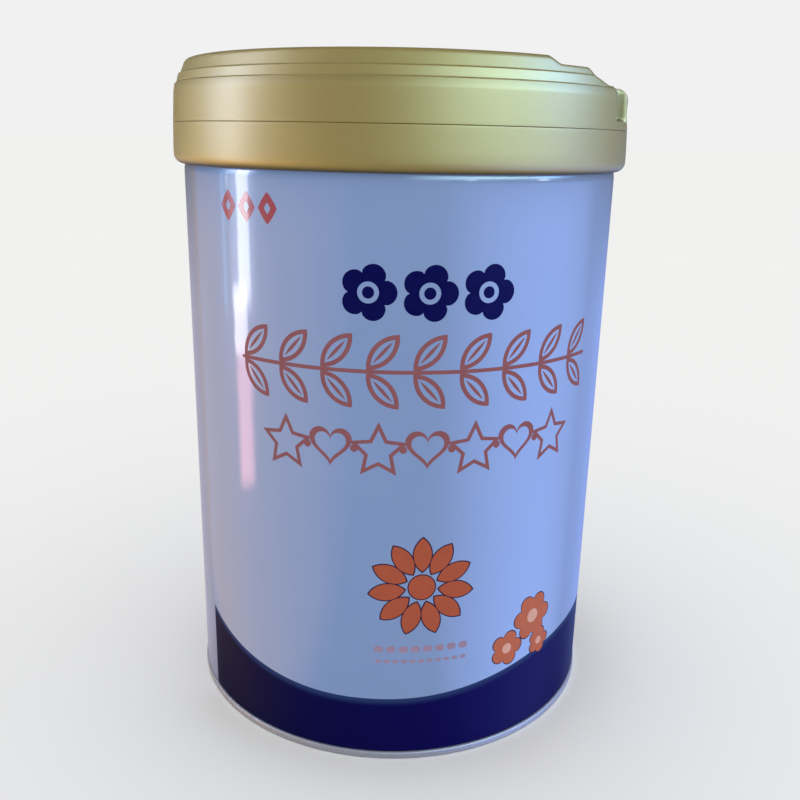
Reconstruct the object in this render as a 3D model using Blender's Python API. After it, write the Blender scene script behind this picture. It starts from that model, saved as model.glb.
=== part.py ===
"""Milk powder tin with a clip-on ring and a flip-top cover, shut.

Metres, +Z up. The origin is the centre of the circle that the base rim stands on.
Azimuth 0 is the printed front, which faces -Y, and azimuth 90 is the side that faces +X.
"""
import math

import bmesh
import bpy
from mathutils import Vector

# Tin body: a rolled and welded sheet wall, necked in a little at its top
BODY_RADIUS = 0.0635
BODY_BOTTOM = 0.0023
BODY_TOP = 0.1736
FOOT_CURL = 0.0007
FOOT_CURL_HEIGHT = 0.0013
SHOULDER_START = 0.1604
NECK_RADIUS = 0.0623
NECK_START = 0.1650

# Base end: double seam, countersink and beaded panel
SEAM_RADIUS = 0.0639
SEAM_HEIGHT = 0.0020
SEAM_INNER_RADIUS = 0.0624
SEAM_ROUND = 0.0005
SPIGOT_RADIUS = 0.0620
SPIGOT_TOP = 0.0070
COUNTERSINK_RADIUS = 0.0619
COUNTERSINK_DEPTH = 0.0054
COUNTERSINK_WIDTH = 0.0018
COUNTERSINK_ROUND = 0.0008
PANEL_DEPTH = 0.0046
PANEL_BEAD_RADII = (0.0450, 0.0285)
PANEL_BEAD_WIDTH = 0.0032
PANEL_BEAD_RISE = 0.0005

# Lid ring, clipped over the neck
RING_INNER_RADIUS = 0.0626
RING_BOTTOM = 0.1625
RING_MOUTH_RADIUS = 0.0634
RING_ROUND = 0.0026
RING_WIDE_RADIUS = 0.06625
RING_WIDE_HEIGHT = 0.1670
RING_TOP_RADIUS = 0.0660
RING_TOP = 0.1736
RING_TOP_ROUND = 0.0003
RING_LIP_RADIUS = 0.0646
RING_LIP_TOP = 0.1750

# Lid cover: a tapered wall, two ledges and a flat plateau
COVER_BOTTOM = 0.1739
COVER_FOOT_RADIUS = 0.0660
COVER_FOOT_ROUND = 0.0003
COVER_SHOULDER_RADIUS = 0.0655
COVER_SHOULDER_HEIGHT = 0.1818
COVER_SHOULDER_DROP = 0.0021
LOWER_LEDGE_HEIGHT = 0.1841
LOWER_LEDGE_OUTER = 0.0651
LOWER_LEDGE_INNER = 0.0646
UPPER_LEDGE_HEIGHT = 0.1866
UPPER_LEDGE_OUTER = 0.0640
UPPER_LEDGE_INNER = 0.0634
LEDGE_FALL = 0.0002
PLATEAU_HEIGHT = 0.1903
PLATEAU_RADIUS = 0.0607
PLATEAU_ROUND = 0.0018
STACK_RECESS_RADIUS = 0.0400
STACK_RECESS_DEPTH = 0.0007
STACK_RECESS_SLOPE = 0.0012

# Thumb side of the cover: two straight drops, a tab and a finger recess each side of it
TAB_AZIMUTH = math.radians(80.0)
TAB_HALF_ANGLE = math.radians(10.0)
RECESS_HALF_ANGLE = math.radians(20.0)
RECESS_RADIUS = 0.0633
RECESS_BOTTOM = 0.1762
RECESS_ROUND = 0.0008
FIRST_DROP_START = 0.0434
FIRST_DROP_END = 0.0464
PLATFORM_HEIGHT = 0.1884
SECOND_DROP_START = 0.0533
SECOND_DROP_STEP = (0.0553, 0.1864)
SECOND_DROP_TREAD = (0.0571, 0.1855)
TAB_TOP_START = 0.0588
TAB_TOP_HEIGHT = 0.1846
TAB_LIP_START = 0.0626
TAB_LIP_HEIGHT = 0.1827
SCOOP_CENTRE_HEIGHT = 0.1779
SCOOP_CURVE_RADIUS = 0.0110
SCOOP_FACE_RADIUS = 0.0650

# Hinge flap, opposite the tab, hanging into a notch in the ring
HINGE_AZIMUTH = TAB_AZIMUTH + math.pi
HINGE_HALF_ANGLE = math.radians(14.0)
HINGE_FLAP_DROP = 0.0040
HINGE_FLAP_ROOT = 0.0030
HINGE_FLAP_INNER = 0.0629
HINGE_FLAP_OUTER = 0.0656

# Meshing and fits
SEGMENTS = 72
SCOOP_SIDES = 40
SHARP_ANGLE = math.radians(30.0)
BEVEL_ANGLE = math.radians(40.0)
CLEARANCE = 0.0003
CUTTER_OVERHANG = 0.0040
WELD_DISTANCE = 0.000001

# Colours are linear RGB
WALL_COLOUR = (0.50, 0.55, 0.78, 1.0)
BASE_COLOUR = (0.46, 0.46, 0.48, 1.0)
LID_COLOUR = (0.55, 0.43, 0.18, 1.0)


def clear_objects():
    for old in list(bpy.data.objects):
        bpy.data.objects.remove(old, do_unlink=True)


def make_material(name, colour, roughness, metallic):
    material = bpy.data.materials.new(name)
    material.use_nodes = True
    shader = material.node_tree.nodes["Principled BSDF"]
    shader.inputs["Base Color"].default_value = colour
    shader.inputs["Roughness"].default_value = roughness
    shader.inputs["Metallic"].default_value = metallic
    return material


def arc(centre_r, centre_z, radius, start, end, steps):
    """Points (r, z) on an arc, angles in degrees from the outward radial direction."""
    points = []
    for step in range(steps + 1):
        angle = math.radians(start + (end - start) * step / steps)
        points.append((centre_r + radius * math.cos(angle), centre_z + radius * math.sin(angle)))
    return points


def outward(azimuth):
    """Unit vector pointing out from the axis at an azimuth."""
    return Vector((math.sin(azimuth), -math.cos(azimuth), 0.0))


def polar(radius, azimuth, height):
    point = outward(azimuth) * radius
    point.z = height
    return point


def link_mesh(name, bm, material=None):
    bmesh.ops.recalc_face_normals(bm, faces=bm.faces)
    mesh = bpy.data.meshes.new(name)
    bm.to_mesh(mesh)
    bm.free()
    obj = bpy.data.objects.new(name, mesh)
    bpy.context.scene.collection.objects.link(obj)
    if material is not None:
        mesh.materials.append(material)
        mesh.shade_smooth()
        mesh.set_sharp_from_angle(angle=SHARP_ANGLE)
    return obj


def turned(name, profile, material, ring=False):
    """Spin an (r, z) profile about Z: a solid when it runs from axis to axis, or a ring."""
    bm = bmesh.new()
    verts = [bm.verts.new((0.0, -r, z)) for r, z in profile]
    edges = [bm.edges.new(pair) for pair in zip(verts, verts[1:])]
    if ring:
        edges.append(bm.edges.new((verts[-1], verts[0])))
    bmesh.ops.spin(
        bm,
        geom=verts + edges,
        cent=(0.0, 0.0, 0.0),
        axis=(0.0, 0.0, 1.0),
        angle=math.tau,
        steps=SEGMENTS,
    )
    bmesh.ops.remove_doubles(bm, verts=bm.verts, dist=WELD_DISTANCE)
    return link_mesh(name, bm, material)


def extruded(name, outline, shift):
    """A closed prism: a flat outline of points, moved along a vector."""
    bm = bmesh.new()
    face = bm.faces.new([bm.verts.new(point) for point in outline])
    moved = bmesh.ops.extrude_face_region(bm, geom=[face])["geom"]
    top = [item for item in moved if isinstance(item, bmesh.types.BMVert)]
    bmesh.ops.translate(bm, verts=top, vec=shift)
    return link_mesh(name, bm)


def sector(name, radii, heights, azimuths, steps):
    """A closed block between two radii, two heights and two azimuths."""
    inner = []
    outer = []
    for step in range(steps + 1):
        azimuth = azimuths[0] + (azimuths[1] - azimuths[0]) * step / steps
        inner.append(polar(radii[0], azimuth, heights[0]))
        outer.append(polar(radii[1], azimuth, heights[0]))
    outline = outer + inner[::-1]
    return extruded(name, outline, (0.0, 0.0, heights[1] - heights[0]))


def as_cutter(obj):
    obj.hide_render = True
    obj.display_type = "WIRE"


def bevel_edges(obj, width, segments):
    modifier = obj.modifiers.new("rounded edges", "BEVEL")
    modifier.width = width
    modifier.segments = segments
    modifier.limit_method = "ANGLE"
    modifier.angle_limit = BEVEL_ANGLE


def combine(obj, tool, operation):
    modifier = obj.modifiers.new(tool.name, "BOOLEAN")
    modifier.operation = operation
    modifier.solver = "EXACT"
    modifier.object = tool
    as_cutter(tool)


def wall_profile():
    """The printed wall with its contents, from the hidden top to the hidden underside."""
    foot_z = BODY_BOTTOM + FOOT_CURL_HEIGHT
    pocket_radius = SPIGOT_RADIUS + CLEARANCE
    pocket_top = SPIGOT_TOP + CLEARANCE
    profile = [(0.0, BODY_TOP), (NECK_RADIUS, BODY_TOP), (NECK_RADIUS, NECK_START)]
    shoulder_steps = 6
    for step in range(1, shoulder_steps + 1):
        share = step / shoulder_steps
        ease = math.sin(share * math.pi / 2.0)
        radius = NECK_RADIUS + (BODY_RADIUS - NECK_RADIUS) * ease
        profile.append((radius, NECK_START + (SHOULDER_START - NECK_START) * share))
    curl_steps = 4
    for step in range(curl_steps + 1):
        angle = math.pi / 2.0 * step / curl_steps
        radius = BODY_RADIUS - FOOT_CURL * (1.0 - math.cos(angle))
        profile.append((radius, foot_z - FOOT_CURL_HEIGHT * math.sin(angle)))
    profile.append((pocket_radius, BODY_BOTTOM))
    profile.append((pocket_radius, pocket_top))
    profile.append((0.0, pocket_top))
    return profile


def base_profile():
    """The seamed end, from its hidden inner face round the seam to the panel below."""
    panel_edge = COUNTERSINK_RADIUS - COUNTERSINK_ROUND - COUNTERSINK_WIDTH
    slope = COUNTERSINK_DEPTH - PANEL_DEPTH
    profile = [(0.0, SPIGOT_TOP), (SPIGOT_RADIUS, SPIGOT_TOP), (SPIGOT_RADIUS, SEAM_HEIGHT)]
    profile += arc(SEAM_RADIUS - SEAM_ROUND, SEAM_HEIGHT - SEAM_ROUND, SEAM_ROUND, 90, 0, 3)
    profile += arc(SEAM_RADIUS - SEAM_ROUND, SEAM_ROUND, SEAM_ROUND, 0, -90, 3)
    profile += arc(SEAM_INNER_RADIUS + SEAM_ROUND, SEAM_ROUND, SEAM_ROUND, -90, -180, 3)
    profile += arc(
        COUNTERSINK_RADIUS - COUNTERSINK_ROUND,
        COUNTERSINK_DEPTH - COUNTERSINK_ROUND,
        COUNTERSINK_ROUND,
        0,
        90,
        3,
    )
    profile.append((panel_edge + slope, COUNTERSINK_DEPTH))
    profile.append((panel_edge, PANEL_DEPTH))
    for middle in PANEL_BEAD_RADII:
        half = PANEL_BEAD_WIDTH / 2.0
        profile.append((middle + half, PANEL_DEPTH))
        profile.append((middle + half / 2.0, PANEL_DEPTH + PANEL_BEAD_RISE))
        profile.append((middle - half / 2.0, PANEL_DEPTH + PANEL_BEAD_RISE))
        profile.append((middle - half, PANEL_DEPTH))
    profile.append((0.0, PANEL_DEPTH))
    return profile


def ring_profile():
    """The clip ring's section, a closed loop that starts at the lip inside the cover."""
    profile = [
        (RING_INNER_RADIUS, RING_LIP_TOP),
        (RING_LIP_RADIUS, RING_LIP_TOP),
        (RING_LIP_RADIUS, RING_TOP),
    ]
    profile += arc(
        RING_TOP_RADIUS - RING_TOP_ROUND, RING_TOP - RING_TOP_ROUND, RING_TOP_ROUND, 90, 0, 2
    )
    profile.append((RING_WIDE_RADIUS, RING_WIDE_HEIGHT))
    profile += arc(
        RING_WIDE_RADIUS - RING_ROUND, RING_BOTTOM + RING_ROUND, RING_ROUND, 0, -90, 5
    )
    profile.append((RING_MOUTH_RADIUS, RING_BOTTOM))
    profile.append((RING_INNER_RADIUS, NECK_START))
    return profile


def cover_profile():
    """The cover from its middle on top, out over the ledges and down to its underside."""
    recess_floor = PLATEAU_HEIGHT - STACK_RECESS_DEPTH
    groove_top = RING_LIP_TOP + CLEARANCE
    groove_inner = RING_INNER_RADIUS - CLEARANCE
    groove_outer = RING_LIP_RADIUS + CLEARANCE
    profile = [
        (0.0, recess_floor),
        (STACK_RECESS_RADIUS, recess_floor),
        (STACK_RECESS_RADIUS + STACK_RECESS_SLOPE, PLATEAU_HEIGHT),
    ]
    profile += arc(PLATEAU_RADIUS, PLATEAU_HEIGHT - PLATEAU_ROUND, PLATEAU_ROUND, 90, 20, 4)
    profile.append((UPPER_LEDGE_INNER, UPPER_LEDGE_HEIGHT))
    profile.append((UPPER_LEDGE_OUTER, UPPER_LEDGE_HEIGHT - LEDGE_FALL))
    profile.append((LOWER_LEDGE_INNER, LOWER_LEDGE_HEIGHT))
    shoulder_steps = 3
    for step in range(shoulder_steps + 1):
        share = step / shoulder_steps
        ease = math.sin(share * math.pi / 2.0)
        radius = LOWER_LEDGE_OUTER + (COVER_SHOULDER_RADIUS - LOWER_LEDGE_OUTER) * ease
        top = COVER_SHOULDER_HEIGHT + COVER_SHOULDER_DROP
        profile.append((radius, top - COVER_SHOULDER_DROP * share))
    profile.append((COVER_FOOT_RADIUS, COVER_BOTTOM + COVER_FOOT_ROUND))
    profile.append((COVER_FOOT_RADIUS - COVER_FOOT_ROUND, COVER_BOTTOM))
    profile.append((groove_outer, COVER_BOTTOM))
    profile.append((groove_outer, groove_top))
    profile.append((groove_inner, groove_top))
    profile.append((groove_inner, COVER_BOTTOM))
    profile.append((0.0, COVER_BOTTOM))
    return profile


def add_wall():
    material = make_material("lacquered tinplate", WALL_COLOUR, 0.25, 0.0)
    return turned("tin_wall", wall_profile(), material)


def add_base():
    material = make_material("bare tinplate", BASE_COLOUR, 0.35, 1.0)
    return turned("base_end", base_profile(), material)


def hinge_block(name, radii, heights, gap):
    """A block as wide as the hinge flap, with a gap added at each side."""
    half = HINGE_HALF_ANGLE + gap / BODY_RADIUS
    return sector(name, radii, heights, (HINGE_AZIMUTH - half, HINGE_AZIMUTH + half), 6)


def add_ring(material):
    ring = turned("lid_ring", ring_profile(), material, ring=True)
    notch = hinge_block(
        "hinge notch",
        (RING_INNER_RADIUS - CUTTER_OVERHANG, RING_WIDE_RADIUS + CUTTER_OVERHANG),
        (RING_TOP - HINGE_FLAP_DROP, RING_TOP + CUTTER_OVERHANG),
        CLEARANCE,
    )
    combine(ring, notch, "DIFFERENCE")
    return ring


def thumb_side_cutter():
    """The prism that takes away the plateau on the thumb side down to the tab's top."""
    drop_slope = (PLATEAU_HEIGHT - PLATFORM_HEIGHT) / (FIRST_DROP_END - FIRST_DROP_START)
    clear_top = PLATEAU_HEIGHT + CUTTER_OVERHANG
    far = COVER_FOOT_RADIUS + CUTTER_OVERHANG
    lip_slope = (TAB_TOP_HEIGHT - TAB_LIP_HEIGHT) / (COVER_FOOT_RADIUS - TAB_LIP_START)
    section = [
        (FIRST_DROP_START - CUTTER_OVERHANG / drop_slope, clear_top),
        (FIRST_DROP_END, PLATFORM_HEIGHT),
        (SECOND_DROP_START, PLATFORM_HEIGHT),
        SECOND_DROP_STEP,
        SECOND_DROP_TREAD,
        (TAB_TOP_START, TAB_TOP_HEIGHT),
        (TAB_LIP_START, TAB_TOP_HEIGHT),
        (far, TAB_TOP_HEIGHT - lip_slope * (far - TAB_LIP_START)),
        (far, clear_top),
    ]
    along = outward(TAB_AZIMUTH + math.pi / 2.0)
    half_length = COVER_FOOT_RADIUS + CUTTER_OVERHANG
    outline = []
    for distance, height in section:
        outline.append(polar(distance, TAB_AZIMUTH, height) - along * half_length)
    return extruded("thumb side", outline, along * 2.0 * half_length)


def finger_recess_cutter(side):
    """One of the two pockets that free the tab's sides; side is -1 or 1."""
    azimuths = sorted(
        (TAB_AZIMUTH + side * TAB_HALF_ANGLE, TAB_AZIMUTH + side * RECESS_HALF_ANGLE)
    )
    cutter = sector(
        "finger recess left" if side < 0 else "finger recess right",
        (RECESS_RADIUS, COVER_FOOT_RADIUS + CUTTER_OVERHANG),
        (RECESS_BOTTOM, PLATEAU_HEIGHT + CUTTER_OVERHANG),
        azimuths,
        4,
    )
    bevel_edges(cutter, RECESS_ROUND, 2)
    return cutter


def scoop_cutter():
    """A bar lying across the tab, whose round side hollows the tab's face."""
    centre = SCOOP_FACE_RADIUS + SCOOP_CURVE_RADIUS
    half_width = SCOOP_FACE_RADIUS * math.sin(TAB_HALF_ANGLE)
    along = outward(TAB_AZIMUTH + math.pi / 2.0)
    outline = []
    for step in range(SCOOP_SIDES):
        angle = math.tau * (step + 0.5) / SCOOP_SIDES
        distance = centre + SCOOP_CURVE_RADIUS * math.cos(angle)
        height = SCOOP_CENTRE_HEIGHT + SCOOP_CURVE_RADIUS * math.sin(angle)
        outline.append(polar(distance, TAB_AZIMUTH, height) - along * half_width)
    return extruded("tab scoop", outline, along * 2.0 * half_width)


def add_cover(material):
    cover = turned("lid_cover", cover_profile(), material)
    combine(cover, thumb_side_cutter(), "DIFFERENCE")
    for side in (-1, 1):
        combine(cover, finger_recess_cutter(side), "DIFFERENCE")
    combine(cover, scoop_cutter(), "DIFFERENCE")
    flap = hinge_block(
        "hinge flap",
        (HINGE_FLAP_INNER, HINGE_FLAP_OUTER),
        (COVER_BOTTOM - HINGE_FLAP_DROP, COVER_BOTTOM + HINGE_FLAP_ROOT),
        0.0,
    )
    combine(cover, flap, "UNION")
    return cover


def main():
    clear_objects()
    lid_material = make_material("gold moulded plastic", LID_COLOUR, 0.32, 0.85)
    add_wall()
    add_base()
    add_ring(lid_material)
    add_cover(lid_material)


main()
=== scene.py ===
"""The looks of a shut milk powder tin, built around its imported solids.

Metres, +Z up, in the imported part's frame. Azimuth 0 is the printed front, which faces -Y,
and azimuth 90 is the side that faces +X. Flat print motifs are drawn with x along the wall
and y up, and then wrapped onto it.
"""

import math
from functools import partial

import bmesh
import bpy
import numpy as np
from mathutils import Matrix, Vector


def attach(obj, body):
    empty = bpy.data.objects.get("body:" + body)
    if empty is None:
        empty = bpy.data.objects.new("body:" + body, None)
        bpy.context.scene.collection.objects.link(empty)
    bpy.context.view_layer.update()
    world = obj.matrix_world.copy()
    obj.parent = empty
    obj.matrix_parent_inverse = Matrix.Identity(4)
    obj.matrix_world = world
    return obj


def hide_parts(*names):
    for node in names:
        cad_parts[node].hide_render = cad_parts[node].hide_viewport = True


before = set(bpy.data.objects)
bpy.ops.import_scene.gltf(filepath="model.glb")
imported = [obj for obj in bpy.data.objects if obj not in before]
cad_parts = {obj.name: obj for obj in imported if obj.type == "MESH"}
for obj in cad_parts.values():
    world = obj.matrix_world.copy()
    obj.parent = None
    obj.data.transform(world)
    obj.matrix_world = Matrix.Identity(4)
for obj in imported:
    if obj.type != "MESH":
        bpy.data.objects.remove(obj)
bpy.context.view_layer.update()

MM = 0.001

# Tin wall, as in the solids
BODY_RADIUS = 63.5 * MM
BODY_BOTTOM = 2.05 * MM
BODY_TOP = 173.6 * MM
FOOT_CURL = 0.5 * MM
FOOT_CURL_HEIGHT = 1.0 * MM
SHOULDER_START = 160.4 * MM
NECK_RADIUS = 62.3 * MM
NECK_START = 165.0 * MM
POCKET_RADIUS = 62.3 * MM
POCKET_TOP = 7.3 * MM

# Base end
SEAM_RADIUS = 63.9 * MM
SEAM_HEIGHT = 2.0 * MM
SEAM_INNER_RADIUS = 62.4 * MM
SEAM_ROUND = 0.5 * MM
SPIGOT_RADIUS = 62.0 * MM
SPIGOT_TOP = 7.0 * MM
COUNTERSINK_RADIUS = 61.9 * MM
COUNTERSINK_DEPTH = 5.4 * MM
COUNTERSINK_WIDTH = 1.8 * MM
COUNTERSINK_ROUND = 0.8 * MM
PANEL_DEPTH = 4.6 * MM
PANEL_BEAD_RADII = (45.0 * MM, 28.5 * MM)
PANEL_BEAD_WIDTH = 3.2 * MM
PANEL_BEAD_RISE = 0.5 * MM

# Lid ring
RING_INNER_RADIUS = 62.6 * MM
RING_BOTTOM = 162.5 * MM
RING_MOUTH_RADIUS = 63.4 * MM
RING_ROUND = 2.6 * MM
RING_WIDE_RADIUS = 66.25 * MM
RING_WIDE_HEIGHT = 167.0 * MM
RING_TOP_RADIUS = 66.0 * MM
RING_TOP = 173.6 * MM
RING_LIP_RADIUS = 64.6 * MM
RING_LIP_TOP = 175.0 * MM

# Lid cover
COVER_BOTTOM = 173.68 * MM
COVER_FOOT_RADIUS = 66.0 * MM
COVER_SHOULDER_RADIUS = 65.5 * MM
COVER_SHOULDER_HEIGHT = 181.8 * MM
LOWER_LEDGE_HEIGHT = 184.1 * MM
LOWER_LEDGE_OUTER = 65.1 * MM
LOWER_LEDGE_INNER = 64.6 * MM
UPPER_LEDGE_HEIGHT = 186.6 * MM
UPPER_LEDGE_OUTER = 64.0 * MM
UPPER_LEDGE_INNER = 63.4 * MM
LEDGE_FALL = 0.2 * MM
LEDGE_ROUND = 0.36 * MM
PLATEAU_HEIGHT = 190.3 * MM
PLATEAU_CORNER_RADIUS = 61.92 * MM
PLATEAU_ROUND = 1.8 * MM
STACK_RECESS_RADIUS = 40.0 * MM
STACK_RECESS_DEPTH = 0.7 * MM
STACK_RECESS_SLOPE = 1.2 * MM
LID_CLEARANCE = 0.3 * MM
LID_EDGE_ROUND = 0.14 * MM

# Thumb side of the cover, measured out from the axis towards the tab
TAB_AZIMUTH = 80.0
TAB_HALF_ANGLE = 10.0
RECESS_HALF_ANGLE = 20.0
RECESS_SIDE_SOFTNESS = 0.7
RECESS_ROOT_RADIUS = 62.0 * MM
RECESS_RADIUS = 63.3 * MM
RECESS_BOTTOM = 176.2 * MM
RECESS_BOTTOM_SOFTNESS = 0.7 * MM
THUMB_SIDE_DISTANCES = (43.4, 46.4, 53.3, 55.3, 57.1, 58.8, 62.6, 66.0)
THUMB_SIDE_HEIGHTS = (190.3, 188.4, 188.4, 186.4, 185.5, 184.6, 184.6, 182.7)
THUMB_SIDE_LEAD = 20.0
SCOOP_CENTRE_HEIGHT = 177.9 * MM
SCOOP_CURVE_RADIUS = 11.0 * MM
SCOOP_FACE_RADIUS = 65.0 * MM
SCOOP_WALL_LEAN = 0.25 * MM
MOULD_ROUND = 0.6 * MM
CREASE_SOFTNESS = 0.45 * MM

# Where shade is painted into the gold plastic's colour: under the ring's edge, and inside the finger
# recesses
RING_SHADE_TOP = RING_BOTTOM + 1.4 * MM
RECESS_SHADE_INNER = 64.7 * MM
RECESS_SHADE_OUTER = 65.4 * MM
RECESS_SHADE_HIGH = 182.5 * MM
RECESS_SHADE_END = 184.0 * MM

# Hinge, opposite the tab
HINGE_AZIMUTH = TAB_AZIMUTH - 180.0
HINGE_HALF_ANGLE = 14.0
HINGE_FLAP_DROP = 4.0 * MM
HINGE_FLAP_ROOT = 3.0 * MM
HINGE_FLAP_INNER = 62.9 * MM
HINGE_FLAP_OUTER = 65.6 * MM

# Print on the wall, in degrees and mm

# There is a navy field whose top edge sags at the front, a pale panel from the field's left
# end back to the side weld, and a bare margin at the weld.
FIELD_START = -59.8
FIELD_SAG = -9.0
FIELD_LOW = 19.6
FIELD_RIGHT_TOP = 75.0
FIELD_RIGHT_RISE = 9.2
FIELD_LEFT_RISE = 11.0
FIELD_LEFT_POWER = 2.05
FIELD_BACK_SAG = 171.0
PANEL_END = -122.0
MARGIN_END = -126.0
WELD_AZIMUTH = -124.0
WELD_WIDTH = 0.9 * MM
WELD_RISE = 0.12 * MM
INK_FILM = 0.03 * MM
INK_SINK = 0.05 * MM

# Camera, fitted to the photograph's 800-pixel frame
PHOTO_SIZE = 800
FOCAL_PIXELS = 870.0348
CAMERA_PLACE = Vector((0.0, -273.1715 * MM, 170.3969 * MM))
CAMERA_PITCH = math.radians(16.72395)
CAMERA_ROLL = math.radians(1.19976)
CAMERA_YAW = math.radians(-0.33614)
SENSOR_WIDTH = 36.0

# Meshing
COLUMNS = 360
CORNER_STEPS = 8
WELD_LOOPS = 61
FLAP_LOOPS = 29
WELD_DISTANCE = 0.002 * MM
SHARP_ANGLE = math.radians(32.0)


def srgb(code):
    """An sRGB hex colour as linear RGBA."""
    channels = []
    for start in (0, 2, 4):
        value = int(code[start:start + 2], 16) / 255.0
        if value <= 0.04045:
            channels.append(value / 12.92)
        else:
            channels.append(((value + 0.055) / 1.055) ** 2.4)
    return (*channels, 1.0)


def fill(node, inputs):
    """Fill a node's inputs from values, sockets, or nodes by their first output."""
    for key, value in inputs.items():
        if isinstance(value, bpy.types.Node):
            value = next(socket for socket in value.outputs if socket.enabled)
        if isinstance(value, bpy.types.NodeSocket):
            node.id_data.links.new(value, node.inputs[key])
        else:
            node.inputs[key].default_value = value


def add_node(tree, kind, inputs=None, **settings):
    """Add a node, set its settings, and fill its inputs."""
    node = tree.nodes.new(kind)
    for name, value in settings.items():
        setattr(node, name, value)
    fill(node, inputs or {})
    return node


# Profiles and meshes

def filleted(corners, closed=False):
    """Points (r, z) through corners (r, z, radius), each rounded by its radius."""
    points = []
    count = len(corners)
    for index, (r, z, radius) in enumerate(corners):
        corner = Vector((r, z))
        at_end = not closed and index in (0, count - 1)
        if radius == 0.0 or at_end:
            points.append(corner)
            continue
        before = (Vector(corners[index - 1][:2]) - corner).normalized()
        after = (Vector(corners[(index + 1) % count][:2]) - corner).normalized()
        half = before.angle(after) / 2.0
        centre = corner + (before + after).normalized() * radius / math.sin(half)
        start = corner + before * radius / math.tan(half) - centre
        end = corner + after * radius / math.tan(half) - centre
        sweep = start.angle_signed(end)
        for step in range(CORNER_STEPS + 1):
            turn = Matrix.Rotation(-sweep * step / CORNER_STEPS, 2)
            points.append(centre + turn @ start)
    return points


def spaced(points, limit, closed=False):
    """Split each run of points (r, z) so that no step is longer than limit(r, z) there."""
    result = []
    count = len(points)
    runs = count if closed else count - 1
    for index in range(runs):
        start = points[index]
        end = points[(index + 1) % count]
        middle = (start + end) / 2.0
        steps = max(1, math.ceil((end - start).length / limit(*middle)))
        for step in range(steps):
            result.append(start.lerp(end, step / steps))
    if not closed:
        result.append(points[-1])
    return result


def link_object(name, data):
    obj = bpy.data.objects.new(name, data)
    bpy.context.scene.collection.objects.link(obj)
    return obj


def object_from(bm, name):
    mesh = bpy.data.meshes.new(name)
    bm.to_mesh(mesh)
    bm.free()
    return link_object(name, mesh)


def settle(obj, material=None):
    """Merge doubles, turn the faces outwards and shade the round parts smooth."""
    bm = bmesh.new()
    bm.from_mesh(obj.data)
    bmesh.ops.remove_doubles(bm, verts=bm.verts, dist=WELD_DISTANCE)
    bmesh.ops.dissolve_degenerate(bm, edges=bm.edges, dist=WELD_DISTANCE)
    bmesh.ops.recalc_face_normals(bm, faces=bm.faces)
    bm.to_mesh(obj.data)
    bm.free()
    obj.data.shade_smooth()
    obj.data.set_sharp_from_angle(angle=SHARP_ANGLE)
    if material is not None:
        obj.data.materials.clear()
        obj.data.materials.append(material)
    return obj


def polar_grid(name, azimuths, radii, heights, closed=False):
    """A skin over a grid of (row, column) radii and heights, one column for each azimuth.

    The rows run from axis to axis, or round a closed section."""
    rows, columns = radii.shape
    angles = np.radians(azimuths)[None, :]
    points = np.stack(
        [radii * np.sin(angles), -radii * np.cos(angles), heights], axis=-1
    ).reshape(-1, 3)
    last_row = rows if closed else rows - 1
    faces = []
    for row in range(last_row):
        here = row * columns
        below = (row + 1) % rows * columns
        for column in range(columns):
            beside = (column + 1) % columns
            faces.append((here + column, here + beside, below + beside, below + column))
    mesh = bpy.data.meshes.new(name)
    mesh.from_pydata(points.tolist(), [], faces)
    return link_object(name, mesh)


def swept(name, loops):
    """A skin over loops of points (radius, azimuth in radians, z), capped at both ends."""
    bm = bmesh.new()
    rings = []
    for loop in loops:
        places = [(r * math.sin(angle), -r * math.cos(angle), z) for r, angle, z in loop]
        rings.append([bm.verts.new(place) for place in places])
    for near, far in zip(rings, rings[1:]):
        for index, vertex in enumerate(near):
            beside = (index + 1) % len(near)
            bm.faces.new((vertex, near[beside], far[beside], far[index]))
    bm.faces.new(rings[0])
    bm.faces.new(rings[-1])
    return object_from(bm, name)


def convert(obj):
    """Turn an object with live modifiers into a plain mesh object."""
    graph = bpy.context.evaluated_depsgraph_get()
    graph.update()
    mesh = bpy.data.meshes.new_from_object(obj.evaluated_get(graph))
    old = obj.data
    obj.modifiers.clear()
    obj.data = mesh
    mesh.name = obj.name
    bpy.data.meshes.remove(old)
    return obj


def run_tree(obj, tree, values):
    """Give an object a tree as its modifier, with values by input name, and convert it."""
    modifier = obj.modifiers.new(tree.name, "NODES")
    modifier.node_group = tree
    for item in tree.interface.items_tree:
        if item.item_type == "SOCKET" and item.in_out == "INPUT" and item.name in values:
            modifier[item.identifier] = values[item.name]
    return convert(obj)


def new_tree(name, sockets):
    """A Geometry Nodes tree with a geometry input and output and the named inputs."""
    tree = bpy.data.node_groups.new(name, "GeometryNodeTree")
    tree.interface.new_socket("Geometry", in_out="INPUT", socket_type="NodeSocketGeometry")
    for socket_name, kind in sockets.items():
        tree.interface.new_socket(socket_name, in_out="INPUT", socket_type=kind)
    tree.interface.new_socket("Geometry", in_out="OUTPUT", socket_type="NodeSocketGeometry")
    return tree, add_node(tree, "NodeGroupInput").outputs


def round_the_axis(add, radius, azimuth, height):
    """Nodes for the point at a radius, an azimuth in radians from -Y, and a height."""
    sine = add("ShaderNodeMath", {0: azimuth}, operation="SINE")
    cosine = add("ShaderNodeMath", {0: azimuth}, operation="COSINE")
    x = add("ShaderNodeMath", {0: radius, 1: sine}, operation="MULTIPLY")
    y = add("ShaderNodeMath", {0: radius, 1: cosine}, operation="MULTIPLY")
    front = add("ShaderNodeMath", {0: y, 1: -1.0}, operation="MULTIPLY")
    return add("ShaderNodeCombineXYZ", {0: x, 1: front, 2: height})


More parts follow.
